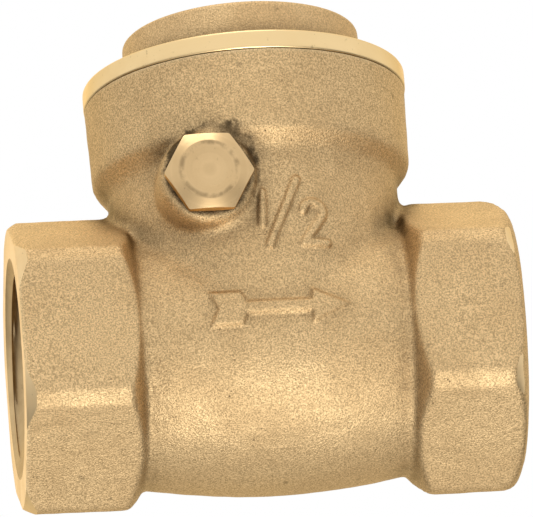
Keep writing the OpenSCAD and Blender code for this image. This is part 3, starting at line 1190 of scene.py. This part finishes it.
@dataclass
class Casting:
    """The valve's body: one rough casting with its ports, seat and threads cut into it.

    Args:
        layout: The shared places of the valve.
        finishes: The finishes of the valve.
        marks: The marks on its front.
        voxel: Width of the quads of the cast skin.
        stock: How far the rough ends stand proud of their faces.
        hex_flats, hex_corner_r: Width across the flats, and radius at the corners.
        hex_rounding, hex_bevel: Rounding of two long edges, and bevel of the other four.
        inlet_hex, outlet_hex: Length of each hexagonal end.
        inlet_rounding, outlet_rounding: Rounding of its outer corners.
        inlet_chamfer_r, outlet_chamfer_r: Radius of the flat part of its face.
        barrel_mid_r, barrel_end_r, barrel_half: Radii of the barrel, and half its length.
        neck_r, collar_low_r, collar_top_r: Radii of the neck and of the collar's two ends.
        slope_z, collar_z, collar_top: Heights of the slope, the collar's edge and its face.
        boss_foot_y, boss_face_y: Where the boss round the plug starts and ends.
        well_r, well_floor, throat_r: The well's radius and floor, and the throat's radius.
        port_depth, thread_start: Depth of the port threads, and their turn in degrees.
        seat_r, seat_bore_r: Radii of the seat and of its bore.
        cap_shoulder: Height of the shoulder under the cap's seal.
        ear_y: Distance of the pin's two ears from the middle.
    """

    layout: Layout
    finishes: Finishes
    marks: RaisedMarks = field(default_factory=RaisedMarks)
    voxel: float = 0.36
    stock: float = 2.0
    hex_flats: float = 26.84
    hex_rounding: float = 1.5
    hex_bevel: float = 1.75
    hex_corner_r: float = 15.6
    inlet_hex: float = 12.1
    inlet_rounding: float = 0.3
    inlet_chamfer_r: float = 14.0
    outlet_hex: float = 11.3
    outlet_rounding: float = 3.5
    outlet_chamfer_r: float = 13.45
    barrel_mid_r: float = 13.9
    barrel_end_r: float = 12.6
    barrel_half: float = 13.4
    neck_r: float = 14.5
    collar_low_r: float = 15.9
    collar_top_r: float = 16.1
    slope_z: float = 17.2
    collar_z: float = 18.9
    collar_top: float = 26.9
    boss_foot_y: float = -10.0
    boss_face_y: float = -15.5
    well_r: float = 11.5
    well_floor: float = 9.2
    throat_r: float = 10.8
    port_depth: float = 11.0
    thread_start: float = 151.0
    seat_r: float = 7.6
    seat_bore_r: float = 6.25
    cap_shoulder: float = 19.0
    ear_y: float = 8.6

    def build(self) -> bpy.types.Object:
        """Builds the casting, cuts it and hands it to the frame.

        Returns:
            The casting's object.
        """
        piece = self.blank()
        piece.remesh(self.voxel)
        piece.sculpt(self.settle)
        piece.sculpt(self.raise_marks)
        self.hollow(piece)
        self.machine_ports(piece)
        self.machine_top(piece)
        return piece.deliver("body", "valve_body", "cast_brass", sharp=40.0)

    def hex_end(self, length: float, rounding: float) -> Solid:
        """Builds a hexagonal end along Z, standing proud of its face for cutting.

        Args:
            length: Distance from the face to the foot of the shoulder.
            rounding: Radius that the casting has at the outer end's corners.

        Returns:
            A closed mesh.
        """
        steps, corner = 8, self.hex_corner_r
        bar = hexagon_bar(self.hex_flats, -self.stock, length, self.hex_rounding, flat=self.hex_bevel)
        lead = []
        for i in range(steps + 1):
            angle = math.radians(90.0 * i / steps)
            lead.append((corner - rounding + rounding * math.sin(angle), rounding * (1 - math.cos(angle))))
        shoulder = [(corner, length - 2.1), (14.9, length - 1.45), (12.7, length), (0.0, length)]
        outline = [(0.0, -self.stock), (lead[0][0], -self.stock), *lead, *shoulder]
        end = Workpiece("hex_end", bar, self.finishes.cast)
        return end.work(Operation.KEEP, lathe(outline, 96), self.finishes.cast).as_tool()

    def neck(self) -> Outline:
        """Draws the neck, the slope under the collar and the collar.

        Returns:
            A closed outline as (radius, height) points.
        """
        rise, top = self.collar_z - self.slope_z, self.collar_top + 1.5
        return [
            (0.0, -2.0),
            (13.2, -2.0),
            (13.75, 1.0),
            (14.2, 3.5),
            (self.neck_r, 7.0),
            (self.neck_r, 16.4),
            (self.neck_r, self.slope_z - 0.45),
            (self.neck_r + 0.08, self.slope_z - 0.1),
            (self.neck_r + 0.3, self.slope_z + 0.2 * rise),
            (self.collar_low_r - 0.1, self.collar_z - 0.1),
            (self.collar_low_r, self.collar_z + 0.05),
            (self.collar_top_r + 0.01, top),
            (0.0, top),
        ]

    def blank(self) -> Workpiece:
        """Builds the rough outer shape from overlapping solids.

        Returns:
            The blank.
        """
        layout, cast = self.layout, self.finishes.cast
        bulge = self.barrel_mid_r - self.barrel_end_r
        arc = (self.barrel_half**2 + bulge**2) / (2 * bulge)
        rows = [self.barrel_half * (i / 10 - 1) for i in range(21)]
        side = [(self.barrel_mid_r - arc + math.sqrt(arc**2 - z**2), z) for z in rows]
        barrel = lathe([(0.0, rows[0]), *side, (0.0, rows[-1])], 160)
        piece = Workpiece("body_casting", barrel, cast, layout.upright() @ layout.along_pipe())
        piece.work(Operation.ADD, lathe(self.neck(), 160), cast, layout.upright())
        for length, rounding, place in (
            (self.inlet_hex, self.inlet_rounding, layout.along_pipe()),
            (self.outlet_hex, self.outlet_rounding, layout.against_flow()),
        ):
            piece.work(Operation.ADD, self.hex_end(length, rounding), cast, place)
        height = self.boss_foot_y - self.boss_face_y
        boss = [(0.0, 0.0), (5.0, 0.0), (5.0, 3.4), (4.95, 4.3)]
        boss += [(4.7, height - 0.3), (4.45, height), (0.0, height)]
        return piece.work(Operation.ADD, lathe(boss, 96), cast, layout.on_pin(self.boss_foot_y))

    def in_hex(self, place: Vector) -> bool:
        """Says whether a place lies in one of the hexagonal ends."""
        along = place.x < 13.0 or place.x > self.layout.length - 12.2
        return along and place.z < self.hex_flats / 2 + 2.0

    def at_join(self, place: Vector) -> bool:
        """Says whether a place lies where the neck runs into the barrel and the ends."""
        x = place.x - self.layout.middle
        return -6.0 < place.z < 12.0 and math.hypot(x, place.y) > 11.5 and abs(x) < 13.0

    def settle(self, bm: Solid) -> None:
        """Rounds the joins between the shapes and gives the skin a caster's unevenness.

        Args:
            bm: The casting's mesh.
        """
        smooth(bm, bm.verts, 2)
        smooth(bm, [v for v in bm.verts if self.in_hex(v.co)], 1)
        smooth(bm, [v for v in bm.verts if self.at_join(v.co)], 10)
        bm.normal_update()
        shifts = []
        for vert in bm.verts:
            broad = noise.noise(vert.co * 0.16 + Vector((3.1, 0.0, 7.7)))
            small = noise.noise(vert.co * 0.7)
            shifts.append(vert.normal * (0.07 * broad + 0.03 * small))
        for vert, shift in zip(bm.verts, shifts):
            vert.co += shift

    def on_front(self, place: Vector) -> bool:
        """Says whether a place lies in the part of the front that holds the marks."""
        return place.y < -11.0 and -7.5 < place.x - self.layout.middle < 8.7 and -2.6 < place.z < 15.2

    def raise_marks(self, bm: Solid) -> None:
        """Refines the skin round the marks and lifts them out of it.

        Args:
            bm: The casting's mesh.
        """
        mid, margin = self.layout.middle, 0.9
        front = [v for v in bm.verts if self.on_front(v.co)]
        near = {v for v in front if min(self.marks.gaps(v.co.x - mid, v.co.z)) < margin}
        edges = [e for e in bm.edges if e.verts[0] in near and e.verts[1] in near]
        bmesh.ops.subdivide_edges(bm, edges=edges, cuts=2, use_grid_fill=True, smooth=0.0)
        bm.normal_update()
        front = [v for v in bm.verts if self.on_front(v.co)]
        lifted = [(v, v.normal * self.marks.lift(v.co.x - mid, v.co.z)) for v in front]
        lifted = [(vert, shift) for vert, shift in lifted if shift.length > 1e-4]
        for vert, shift in lifted:
            vert.co += shift
        smooth(bm, [vert for vert, _ in lifted], 2, 0.4)

    def hollow(self, piece: Workpiece) -> None:
        """Cuts the passages that the core leaves: the well under the cap and the throat.

        Args:
            piece: The casting.
        """
        layout, cast = self.layout, self.finishes.cast
        core = Workpiece("core", rod(self.throat_r, 11.2, layout.length - 12.7), cast, layout.along_pipe())
        core.work(Operation.ADD, rod(self.well_r, 0.0, self.well_floor + 1.0), cast, layout.upright())
        core.work(Operation.KEEP, slab((80.0, 60.0, 60.0), (0.0, 0.0, 29.2)), cast, layout.on_seat())
        well = rod(self.well_r, self.well_floor, self.collar_top + 5.0)
        core.work(Operation.ADD, well, cast, layout.upright())
        piece.work(Operation.CUT, core.as_tool(), cast)
        ear_length = 3.6
        for side in (-1.0, 1.0):
            ear = soften([(0.0, 0.0), (3.5, 0.0), (3.5, ear_length), (0.0, ear_length)], 0.3)
            piece.work(Operation.ADD, lathe(ear, 64), cast, layout.on_pin(side * self.ear_y + ear_length / 2))

    def machine_ports(self, piece: Workpiece) -> None:
        """Cuts the end faces, the ports with their threads, and the seat.

        Args:
            piece: The casting.
        """
        layout, done = self.layout, self.finishes
        ends = (layout.along_pipe(), layout.against_flow())
        for place, chamfer_r in zip(ends, (self.inlet_chamfer_r, self.outlet_chamfer_r)):
            face = [(0.0, -4.0), (22.0, -4.0), (22.0, 22.0 - chamfer_r), (chamfer_r, 0.0), (0.0, 0.0)]
            piece.work(Operation.CUT, lathe(face, 160), done.port_cut, place)
        rim = self.seat_r
        seat = [(0.0, -2.2), (rim, -2.2), (rim, -0.1), (rim - 0.1, 0.0), (0.0, 0.0)]
        piece.work(Operation.ADD, lathe(seat), done.seat_cut, layout.on_seat())
        start = Matrix.Rotation(math.radians(self.thread_start), 4, "Z")
        for place in ends:
            tap = PIPE_THREAD.bar(-0.5, self.port_depth, segments=128)
            piece.work(Operation.CUT, tap, done.bore_cut, place @ start)
            mouth = [(0.0, -1.0), (11.3, -1.0), (11.05, 0.0), (10.73, 0.3), (9.25, 0.95), (0.0, 0.95)]
            piece.work(Operation.CUT, lathe(mouth), done.bore_cut, place)
        piece.work(Operation.CUT, rod(6.0, 10.0, layout.seat.x), done.bore_cut, layout.along_pipe())
        piece.work(Operation.CUT, rod(9.0, 10.5, 14.5), done.bore_cut, layout.against_flow())
        hole = self.seat_bore_r
        bore = [(0.0, -3.0), (hole, -3.0), (hole, -0.15), (hole + 0.3, 0.15), (0.0, 0.5)]
        piece.work(Operation.CUT, lathe(bore), done.seat_cut, layout.on_seat())

    def machine_top(self, piece: Workpiece) -> None:
        """Cuts the collar's face and thread, and the holes for the plug and the pin.

        Args:
            piece: The casting.
        """
        layout, done, top = self.layout, self.finishes, self.collar_top
        piece.work(Operation.CUT, rod(24.0, top, top + 6.0), done.cap_cut, layout.upright())
        socket = CAP_THREAD.bar(self.cap_shoulder, top + 1.0, segments=128)
        piece.work(Operation.CUT, socket, done.cap_cut, layout.upright())
        lead = [(0.0, top - 0.9), (13.2, top - 0.9), (14.3, top + 0.2), (0.0, top + 0.2)]
        piece.work(Operation.CUT, lathe(lead), done.cap_cut, layout.upright())
        hole = PLUG_THREAD.grown(0.05).bar(-1.0, 5.5, segments=64)
        piece.work(Operation.CUT, hole, done.pin_cut, layout.on_pin(-10.95))
        piece.work(Operation.CUT, rod(1.55, 0.0, 25.0, 64), done.pin_cut, layout.on_pin(11.7))


# --- The cap and its seal ---


@dataclass
class ScrewedCap:
    """The cap over the well: a cast boss with a wrench socket on a turned, threaded rim.

    Args:
        layout: The shared places of the valve.
        finishes: The finishes of the valve.
        rim_r, rim_low, rim_high: Radius of the rim, and heights of its faces.
        boss_r, boss_top: Radius of the boss, and height of its top.
        spigot_low: Height of the thread's lower end.
        recess_r: Radius of the recess underneath.
        socket, socket_depth: Width and depth of the wrench socket.
    """

    layout: Layout
    finishes: Finishes
    rim_r: float = 16.19
    rim_low: float = 26.95
    rim_high: float = 28.9
    boss_r: float = 11.9
    boss_top: float = 33.6
    spigot_low: float = 20.0
    recess_r: float = 11.2
    socket: float = 9.6
    socket_depth: float = 3.0

    def build(self) -> bpy.types.Object:
        """Builds the cap and hands it to the frame.

        Returns:
            The cap's object.
        """
        place, done = self.layout.upright(), self.finishes
        low, high, top = self.rim_low, self.rim_high, self.boss_top
        boss = [
            (0.0, low + 1.0),
            (self.boss_r + 0.9, low + 1.0),
            (self.boss_r + 0.9, high),
            (self.boss_r + 0.3, high + 0.15),
            (self.boss_r + 0.05, high + 0.6),
            (self.boss_r - 0.05, top),
            (0.0, top),
        ]
        piece = Workpiece("screwed_cap", lathe(soften(boss, 0.55, 5), 160), done.cap_cast, place)
        rim = [(0.0, low), (self.rim_r, low), (self.rim_r, high), (self.boss_r + 0.6, high), (0.0, high)]
        piece.work(Operation.ADD, lathe(soften(rim, 0.28, 4), 160), done.cap_cut, place)
        thread = CAP_THREAD.grown(-0.12).bar(self.spigot_low, low - 0.4, fade=0.7)
        piece.work(Operation.ADD, thread, done.cap_cut, place)
        piece.work(Operation.ADD, rod(13.05, low - 0.5, low + 0.1), done.cap_cut, place)
        under, over = self.spigot_low - 1.0, low + 0.8
        recess = soften([(0.0, under), (self.recess_r, under), (self.recess_r, over), (0.0, over)], 0.8)
        piece.work(Operation.CUT, lathe(recess), done.cap_cut, place)
        piece.work(Operation.CUT, self.wrench_socket(), done.cap_cast, place)
        return piece.deliver("cap", "cap", "cap_brass")

    def wrench_socket(self) -> Solid:
        """Builds the square pocket that a wrench turns the cap by, with eased corners.

        Returns:
            A closed mesh.
        """
        depth = self.socket_depth + 1.0
        middle = self.boss_top - self.socket_depth + depth / 2
        bm = slab((self.socket, self.socket, depth), (0.0, 0.0, middle))
        low = min(v.co.z for v in bm.verts)
        ease_edges(bm, [e for e in bm.edges if abs(e.verts[0].co.z - e.verts[1].co.z) > 0.1], 0.7, 4)
        ease_edges(bm, [e for e in bm.edges if all(abs(v.co.z - low) < 1e-4 for v in e.verts)], 0.3, 3)
        return bm


@dataclass
class Washer:
    """A flat ring with eased edges.

    Args:
        name: Name of the piece.
        body: The CAD body that it rides on.
        node: The CAD node that it replaces.
        slot: The record's material slot.
        finish: Its material.
        place: Where its lower face's centre lies.
        outer: Outer radius.
        inner: Inner radius.
        thickness: Height of the ring.
        easing: Rounding of its edges.
    """

    name: str
    body: str
    node: str
    slot: str
    finish: Material
    place: Matrix
    outer: float
    inner: float
    thickness: float
    easing: float = 0.08

    def build(self) -> bpy.types.Object:
        """Builds the ring and hands it to the frame.

        Returns:
            The ring's object.
        """
        inner, outer, high = self.inner, self.outer, self.thickness
        section = soften([(inner, 0.0), (outer, 0.0), (outer, high), (inner, high)], self.easing, 4)
        piece = Workpiece(self.name, lathe(section), self.finish, self.place)
        return piece.deliver(self.body, self.node, self.slot)


# --- The hinge pin and its plug ---


@dataclass
class HingePin:
    """The pin that the hanger swings on, and the plug that keeps it in.

    Args:
        layout: The shared places of the valve.
        finishes: The finishes of the valve.
        boss_y: Where the face of the boss lies.
        washer_t: Thickness of the washer.
        head_flats, head_t: Width across the flats of the plug's head, and its thickness.
        head_drop, chamfer_r: Height of the head's chamfer, and radius of the face inside it.
        plug_end_y, pin_end_y: Where the plug's inner end and the pin's far end lie.
        pin_r: Radius of the pin.
    """

    layout: Layout
    finishes: Finishes
    boss_y: float = -15.5
    washer_t: float = 0.4
    head_flats: float = 7.8
    head_t: float = 1.4
    head_drop: float = 0.88
    chamfer_r: float = 3.05
    plug_end_y: float = -11.0
    pin_end_y: float = 11.6
    pin_r: float = 1.5

    def build(self) -> list[bpy.types.Object]:
        """Builds the pin, the plug and the plug's washer."""
        return [self.pin(), self.plug(), self.washer()]

    def washer(self) -> bpy.types.Object:
        """Builds the soft washer under the plug's head.

        Returns:
            The washer's object.
        """
        return Washer(
            "plug_seal_ring",
            "plug_seal",
            "plug_washer",
            "copper_washer",
            self.finishes.copper,
            self.layout.on_pin(self.boss_y - 0.01),
            outer=self.head_flats / 2 - 0.08,
            inner=3.05,
            thickness=self.washer_t - 0.02,
        ).build()

    def pin(self) -> bpy.types.Object:
        """Builds the ground pin, with a small cone at each end.

        Returns:
            The pin's object.
        """
        length, cone, radius = self.pin_end_y - self.plug_end_y - 0.15, 0.3, self.pin_r
        near = [(0.0, 0.0), (radius - cone, 0.0), (radius, cone)]
        far = [(radius, length - cone), (radius - cone, length), (0.0, length)]
        bar = lathe(soften([*near, *far], 0.08), 96)
        piece = Workpiece("swing_pin", bar, self.finishes.steel, self.layout.on_pin(self.pin_end_y))
        return piece.deliver("pin", "hinge_pin", "steel_pin")

    def plug(self) -> bpy.types.Object:
        """Builds the hexagonal plug, its head turned down to a chamfered face.

        Returns:
            The plug's object.
        """
        done, head_y = self.finishes.pin_cut, self.boss_y - self.washer_t
        place = self.layout.on_pin(head_y)
        piece = Workpiece("pin_plug", hexagon_bar(self.head_flats, 0.0, self.head_t, 0.3, 3), done, place)
        corner = self.head_flats * 0.62
        turned = [
            (0.0, 0.0),
            (self.head_flats / 2, 0.0),
            (corner, 0.25),
            (corner, self.head_t - self.head_drop),
            (self.chamfer_r, self.head_t),
            (1.9, self.head_t - 0.04),
            (1.75, self.head_t - 0.07),
            (0.0, self.head_t - 0.05),
        ]
        piece.work(Operation.KEEP, lathe(soften(turned, 0.05), 96), done, place)
        neck = rod(2.5, head_y - self.plug_end_y + 0.1, 0.2, 64)
        piece.work(Operation.ADD, neck, done, place)
        base = self.plug_end_y + 0.05
        thread = PLUG_THREAD.grown(-0.04).bar(0.0, base - head_y - 0.35, fade=0.3, segments=64)
        piece.work(Operation.ADD, thread, done, self.layout.on_pin(base))
        return piece.deliver("plug", "hinge_pin_plug", "turned_brass")


# --- The hanger and the disc ---


@dataclass
class DiscSet:
    """The swinging hanger and the disc that it carries, drawn on the seat's face.

    Fronts, backs and ends are distances from that face.

    Args:
        layout: The shared places of the valve.
        finishes: The finishes of the valve.
        facing_front, facing_back, facing_r: Sides and radius of the soft facing.
        cup_front, cup_back, cup_r: Sides and radius of the cup that holds it.
        hanger_front, hanger_back, hanger_ring_r: Sides and radius of the hanger's ring.
        arm_width: Width of the hanger's arm.
        eye_r, eye_length, pin_hole_r: Radius, length and bore of its eye round the pin.
        stud_end, stud_r: End and radius of the cup's stud.
        washer_front, nut_front: Where the washer and the nut on the stud start.
        nut_flats, nut_t: Width across the flats of the nut, and its thickness.
        screw_end: Where the screw in the stud ends.
    """

    layout: Layout
    finishes: Finishes
    facing_front: float = 0.05
    facing_back: float = 2.05
    cup_front: float = 0.9
    cup_back: float = 3.2
    cup_r: float = 8.2
    facing_r: float = 7.4
    hanger_front: float = 3.45
    hanger_back: float = 5.95
    hanger_ring_r: float = 4.4
    arm_width: float = 6.2
    eye_r: float = 2.97
    eye_length: float = 12.96
    pin_hole_r: float = 1.56
    stud_end: float = 9.2
    stud_r: float = 1.75
    washer_front: float = 6.1
    nut_front: float = 6.8
    nut_flats: float = 6.0
    nut_t: float = 2.0
    screw_end: float = 7.0

    def build(self) -> list[bpy.types.Object]:
        """Builds the hanger and the pieces of the disc."""
        return [self.hanger(), self.cup(), self.screw(), self.nut(), *self.rings()]

    def hanger(self) -> bpy.types.Object:
        """Builds the cast arm, with its eye round the pin and its ring round the stud.

        Returns:
            The hanger's object.
        """
        layout, cast, rim = self.layout, self.finishes.hanger_cast, self.hanger_ring_r
        front, depth = self.hanger_front + 0.02, self.hanger_back - self.hanger_front - 0.04
        ring = lathe(soften([(0.0, 0.0), (rim, 0.0), (rim, depth), (0.0, depth)], 0.3))
        piece = Workpiece("hanger_arm", ring, cast, layout.on_seat(front))
        reach = layout.pin_above_seat()
        arm = slab((reach, self.arm_width, depth), (-reach / 2, 0.0, depth / 2))
        for vert in (v for v in arm.verts if v.co.x < -reach / 2):
            vert.co.y *= 1.12
        ease_edges(arm, arm.edges[:], 0.35, 3)
        piece.work(Operation.ADD, arm, cast, layout.on_seat(front))
        round_r, long = self.eye_r, self.eye_length
        eye = soften([(0.0, 0.0), (round_r, 0.0), (round_r, long), (0.0, long)], 0.35)
        piece.work(Operation.ADD, lathe(eye, 96), cast, layout.on_pin(long / 2))
        piece.remesh(0.2)
        piece.sculpt(lambda bm: smooth(bm, bm.verts, 3))
        piece.work(Operation.CUT, rod(self.pin_hole_r, -8.0, 8.0, 96), self.finishes.pin_cut, layout.on_pin())
        hole = rod(self.stud_r + 0.07, self.hanger_front - 1.0, self.hanger_back + 1.0, 96)
        piece.work(Operation.CUT, hole, self.finishes.seat_cut, layout.on_seat())
        return piece.deliver("hanger", "disc_hanger", "hanger_brass", sharp=40.0)

    def cup(self) -> bpy.types.Object:
        """Builds the turned cup that holds the facing, with the stud on its back.

        Returns:
            The cup's object.
        """
        place, done = self.layout.on_seat(), self.finishes.seat_cut
        front, back, lip, end = self.cup_front, self.cup_back, self.facing_r + 0.06, self.stud_end - 0.1
        outline = [
            (0.0, self.facing_back),
            (lip, self.facing_back),
            (lip, front),
            (self.cup_r, front),
            (self.cup_r, back - 0.5),
            (self.cup_r - 0.5, back),
            (3.4, back),
            (3.2, back + 0.15),
            (self.stud_r, back + 0.15),
            (self.stud_r, self.hanger_back + 0.1),
            (1.4, self.hanger_back + 0.25),
            (1.4, end),
            (0.0, end),
        ]
        piece = Workpiece("disc_cup", lathe(soften(outline, 0.12)), done, place)
        thread = STUD_THREAD.bar(self.hanger_back + 0.15, self.stud_end, fade=0.25, segments=64)
        piece.work(Operation.ADD, thread, done, place)
        bore = SCREW_THREAD.grown(0.06).bar(self.cup_front - 1.0, self.screw_end + 0.2, segments=48)
        piece.work(Operation.CUT, bore, done, place)
        return piece.deliver("disc", "disc_holder", "disc_brass")

    def screw(self) -> bpy.types.Object:
        """Builds the slotted screw that clamps the facing.

        Returns:
            The screw's object.
        """
        place, done = self.layout.on_seat(), self.finishes.stainless
        under = self.facing_front - 0.72
        low, neck = under - 1.5, under + 1.0
        head = [(0.0, low), (2.0, low), (2.5, low + 0.45), (2.5, under)]
        shank = [(1.15, under), (1.15, neck), (0.0, neck)]
        bar = lathe(soften([*head, *shank], 0.12), 96)
        piece = Workpiece("facing_retainer_screw", bar, done, place)
        thread = SCREW_THREAD.bar(under + 0.3, self.screw_end, fade=0.2, segments=48)
        piece.work(Operation.ADD, thread, done, place)
        piece.work(Operation.CUT, slab((8.0, 0.7, 1.4), (0.0, 0.0, low)), done, place)
        return piece.deliver("disc", "facing_screw", "stainless")

    def nut(self) -> bpy.types.Object:
        """Builds the hexagonal nut on the stud.

        Returns:
            The nut's object.
        """
        place, done = self.layout.on_seat(self.nut_front), self.finishes.seat_cut
        piece = Workpiece("stud_nut", hexagon_bar(self.nut_flats, 0.0, self.nut_t, 0.15, 2), done, place)
        half, high = self.nut_flats / 2, self.nut_t
        turned = [(0.0, 0.0), (half - 0.1, 0.0), (half + 0.6, 0.3), (half + 0.6, high - 0.35)]
        piece.work(Operation.KEEP, lathe([*turned, (half - 0.15, high), (0.0, high)], 96), done, place)
        thread = STUD_THREAD.grown(0.04).bar(self.nut_front - 1.0, self.nut_front + high + 1.0, segments=64)
        piece.work(Operation.CUT, thread, done, self.layout.on_seat())
        return piece.deliver("disc", "hanger_nut", "turned_brass")

    def rings(self) -> list[bpy.types.Object]:
        """Builds the rubber facing, its washer and the washer under the nut.

        Returns:
            The objects of the three.
        """
        done, seat = self.finishes, self.layout.on_seat
        facing = Washer(
            "disc_facing",
            "disc",
            "seat_disc",
            "rubber_facing",
            done.rubber,
            seat(self.facing_front),
            outer=self.facing_r,
            inner=1.4,
            thickness=self.facing_back - self.facing_front - 0.01,
            easing=0.2,
        )
        retainer = Washer(
            "facing_retainer_washer",
            "disc",
            "facing_washer",
            "stainless",
            done.stainless,
            seat(self.facing_front - 0.71),
            outer=3.5,
            inner=1.35,
            thickness=0.7,
        )
        stud = Washer(
            "stud_washer",
            "disc",
            "hanger_washer",
            "turned_brass",
            done.seat_cut,
            seat(self.washer_front),
            outer=3.5,
            inner=1.8,
            thickness=0.69,
        )
        return [ring.build() for ring in (facing, retainer, stud)]


# --- Studio ---


def direction(azimuth: float, elevation: float) -> Vector:
    """Returns the unit vector from the object towards a place round it, in degrees."""
    a, e = math.radians(azimuth), math.radians(elevation)
    return Vector((math.sin(a) * math.cos(e), -math.cos(a) * math.cos(e), math.sin(e)))


@dataclass(frozen=True)
class SoftLight:
    """A square soft box.

    Args:
        name: The light's name.
        azimuth: Direction round the object, where 0 is in front and 90 at its right.
        elevation: Degrees above the horizon.
        distance: Distance from the object, in metres.
        size: Width of the box, in metres.
        power: Power, in watts.
    """

    name: str
    azimuth: float
    elevation: float
    distance: float
    size: float
    power: float

    def place(self, aim: Vector) -> bpy.types.Object:
        """Puts the light in the scene.

        Args:
            aim: The point that it is turned to.

        Returns:
            The light's object.
        """
        data = bpy.data.lights.new(self.name, "AREA")
        data.shape = "SQUARE"
        data.size = self.size
        data.energy = self.power
        made = bpy.data.objects.new(self.name, data)
        bpy.context.scene.collection.objects.link(made)
        away = direction(self.azimuth, self.elevation)
        made.location = aim + away * self.distance
        made.rotation_mode = "QUATERNION"
        made.rotation_quaternion = away.to_track_quat("Z", "Y")
        return made


@dataclass(frozen=True)
class Viewpoint:
    """The camera, looking up at the valve's front from a long way off.

    Args:
        azimuth: Where the camera stands round the object, in degrees.
        elevation: How far above the horizon it stands.
        roll: Turn of the picture about the line of sight.
        distance: Distance from the aim point, in metres.
        lens: Focal length, in millimetres.
        aim: The point in the middle of the picture, in millimetres.
    """

    azimuth: float = -5.54
    elevation: float = -18.67
    roll: float = -4.57
    distance: float = 1.262
    lens: float = 852.5
    aim: tuple[float, float, float] = (25.97, 0.0, 10.34)

    def place(self) -> bpy.types.Object:
        """Puts the camera in the scene and makes it the scene's own.

        Returns:
            The camera's object.
        """
        data = bpy.data.cameras.new("camera")
        data.lens = self.lens
        data.sensor_width = 36.0
        data.clip_start, data.clip_end = 0.05, 50.0
        camera = bpy.data.objects.new("camera", data)
        bpy.context.scene.collection.objects.link(camera)
        away = direction(self.azimuth, self.elevation)
        turn = away.to_track_quat("Z", "Y").to_matrix().to_4x4()
        place = Matrix.Translation(Vector(self.aim) * MM + away * self.distance)
        camera.matrix_world = place @ turn @ Matrix.Rotation(math.radians(self.roll), 4, "Z")
        bpy.context.scene.camera = camera
        return camera


@dataclass(frozen=True)
class Studio:
    """A pale floor, a pale surround and soft lights.

    Args:
        floor_z: Height of the floor, in metres.
        floor_size: Width of the floor, in metres.
        above: Brightness of the surround's upper part, as the object sees it.
        below: Brightness of the surround's lower part, as the object sees it.
        flags: How much two dark flags, low at the left and right, take from it.
        aim: The point that the lights are turned to, in metres.
        lights: The soft boxes.
    """

    floor_z: float
    floor_size: float = 6.0
    above: float = 0.88
    below: float = 0.74
    flags: float = 0.75
    aim: tuple[float, float, float] = (0.025, 0.0, 0.008)
    lights: tuple[SoftLight, ...] = (
        SoftLight("key", 6.0, -56.0, 0.8, 0.36, 3.2),
        SoftLight("top", -10.0, 72.0, 0.9, 0.5, 1.6),
        SoftLight("back", 180.0, 35.0, 1.2, 1.2, 2.5),
    )

    def build(self) -> None:
        """Builds the surround, the floor and the lights."""
        self.world()
        self.floor()
        for light in self.lights:
            light.place(Vector(self.aim))
        bpy.context.scene.view_settings.view_transform = "Standard"

    def world(self) -> None:
        """Makes the surround white to the eye, and as a light softer and darker low down."""
        world = bpy.data.worlds.new("surround")
        world.use_nodes = True
        bpy.context.scene.world = world
        build = NodeBuilder(world.node_tree)
        background = world.node_tree.nodes["Background"]
        seen = build.add("ShaderNodeLightPath").outputs["Is Camera Ray"]
        way = build.add("ShaderNodeTexCoord").outputs["Generated"]
        split = build.add("ShaderNodeSeparateXYZ", Vector=way).outputs
        side = build.span(build.math("ABSOLUTE", split["X"]), 0.25, 0.75)
        flag = build.times(side, build.span(split["Z"], 0.05, -0.4, 0.0, self.flags))
        level = build.span(split["Z"], -0.7, 0.15, self.below, self.above)
        level = build.times(level, build.math("SUBTRACT", 1.0, flag))
        background.inputs["Color"].default_value = (1.0, 1.0, 1.0, 1.0)
        build.feed(background.inputs["Strength"], build.larger(seen, level))

    def floor(self) -> bpy.types.Object:
        """Lays a pale floor that is seen only from above.

        Returns:
            The floor's object.
        """
        bm = bmesh.new()
        bmesh.ops.create_grid(bm, x_segments=1, y_segments=1, size=self.floor_size / 2)
        bmesh.ops.translate(bm, verts=bm.verts, vec=(0.0, 0.0, self.floor_z))
        mesh = bpy.data.meshes.new("floor")
        bm.to_mesh(mesh)
        bm.free()
        floor = bpy.data.objects.new("floor", mesh)
        bpy.context.scene.collection.objects.link(floor)
        material, build, shader, place = new_material("pale_floor")
        pale = build.mix(build.noise(place, 3.0, 3.0), colour(0.80, 0.80, 0.79), colour(0.83, 0.83, 0.82))
        build.feed(shader.inputs["Base Color"], pale)
        shader.inputs["Roughness"].default_value = 0.7
        from_below = build.add("ShaderNodeNewGeometry").outputs["Backfacing"]
        clear = build.add("ShaderNodeBsdfTransparent")
        mixed = build.add("ShaderNodeMixShader")
        for socket, value in zip(mixed.inputs, (from_below, shader.outputs[0], clear.outputs[0])):
            build.feed(socket, value)
        build.feed(material.node_tree.nodes["Material Output"].inputs["Surface"], mixed.outputs[0])
        mesh.materials.append(material)
        floor.visible_shadow = False
        floor.visible_glossy = False
        floor.visible_diffuse = False
        return floor


# --- Assembly ---


def main() -> None:
    """Builds the valve, piece by piece, and the studio round it."""
    logging.basicConfig(level=logging.INFO, format="%(message)s")
    layout = Layout.from_frame()
    finishes = Finishes(layout)
    Viewpoint().place()
    Studio(floor_z=CAD_BOX[0].z - 0.0002).build()
    Casting(layout, finishes).build()
    ScrewedCap(layout, finishes).build()
    Washer(
        "cap_seal_ring",
        "gasket",
        "cap_gasket",
        "gasket",
        finishes.fibre,
        layout.upright(19.01),
        outer=13.05,
        inner=11.7,
        thickness=0.98,
        easing=0.12,
    ).build()
    HingePin(layout, finishes).build()
    DiscSet(layout, finishes).build()


if __name__ == "__main__":
    main()
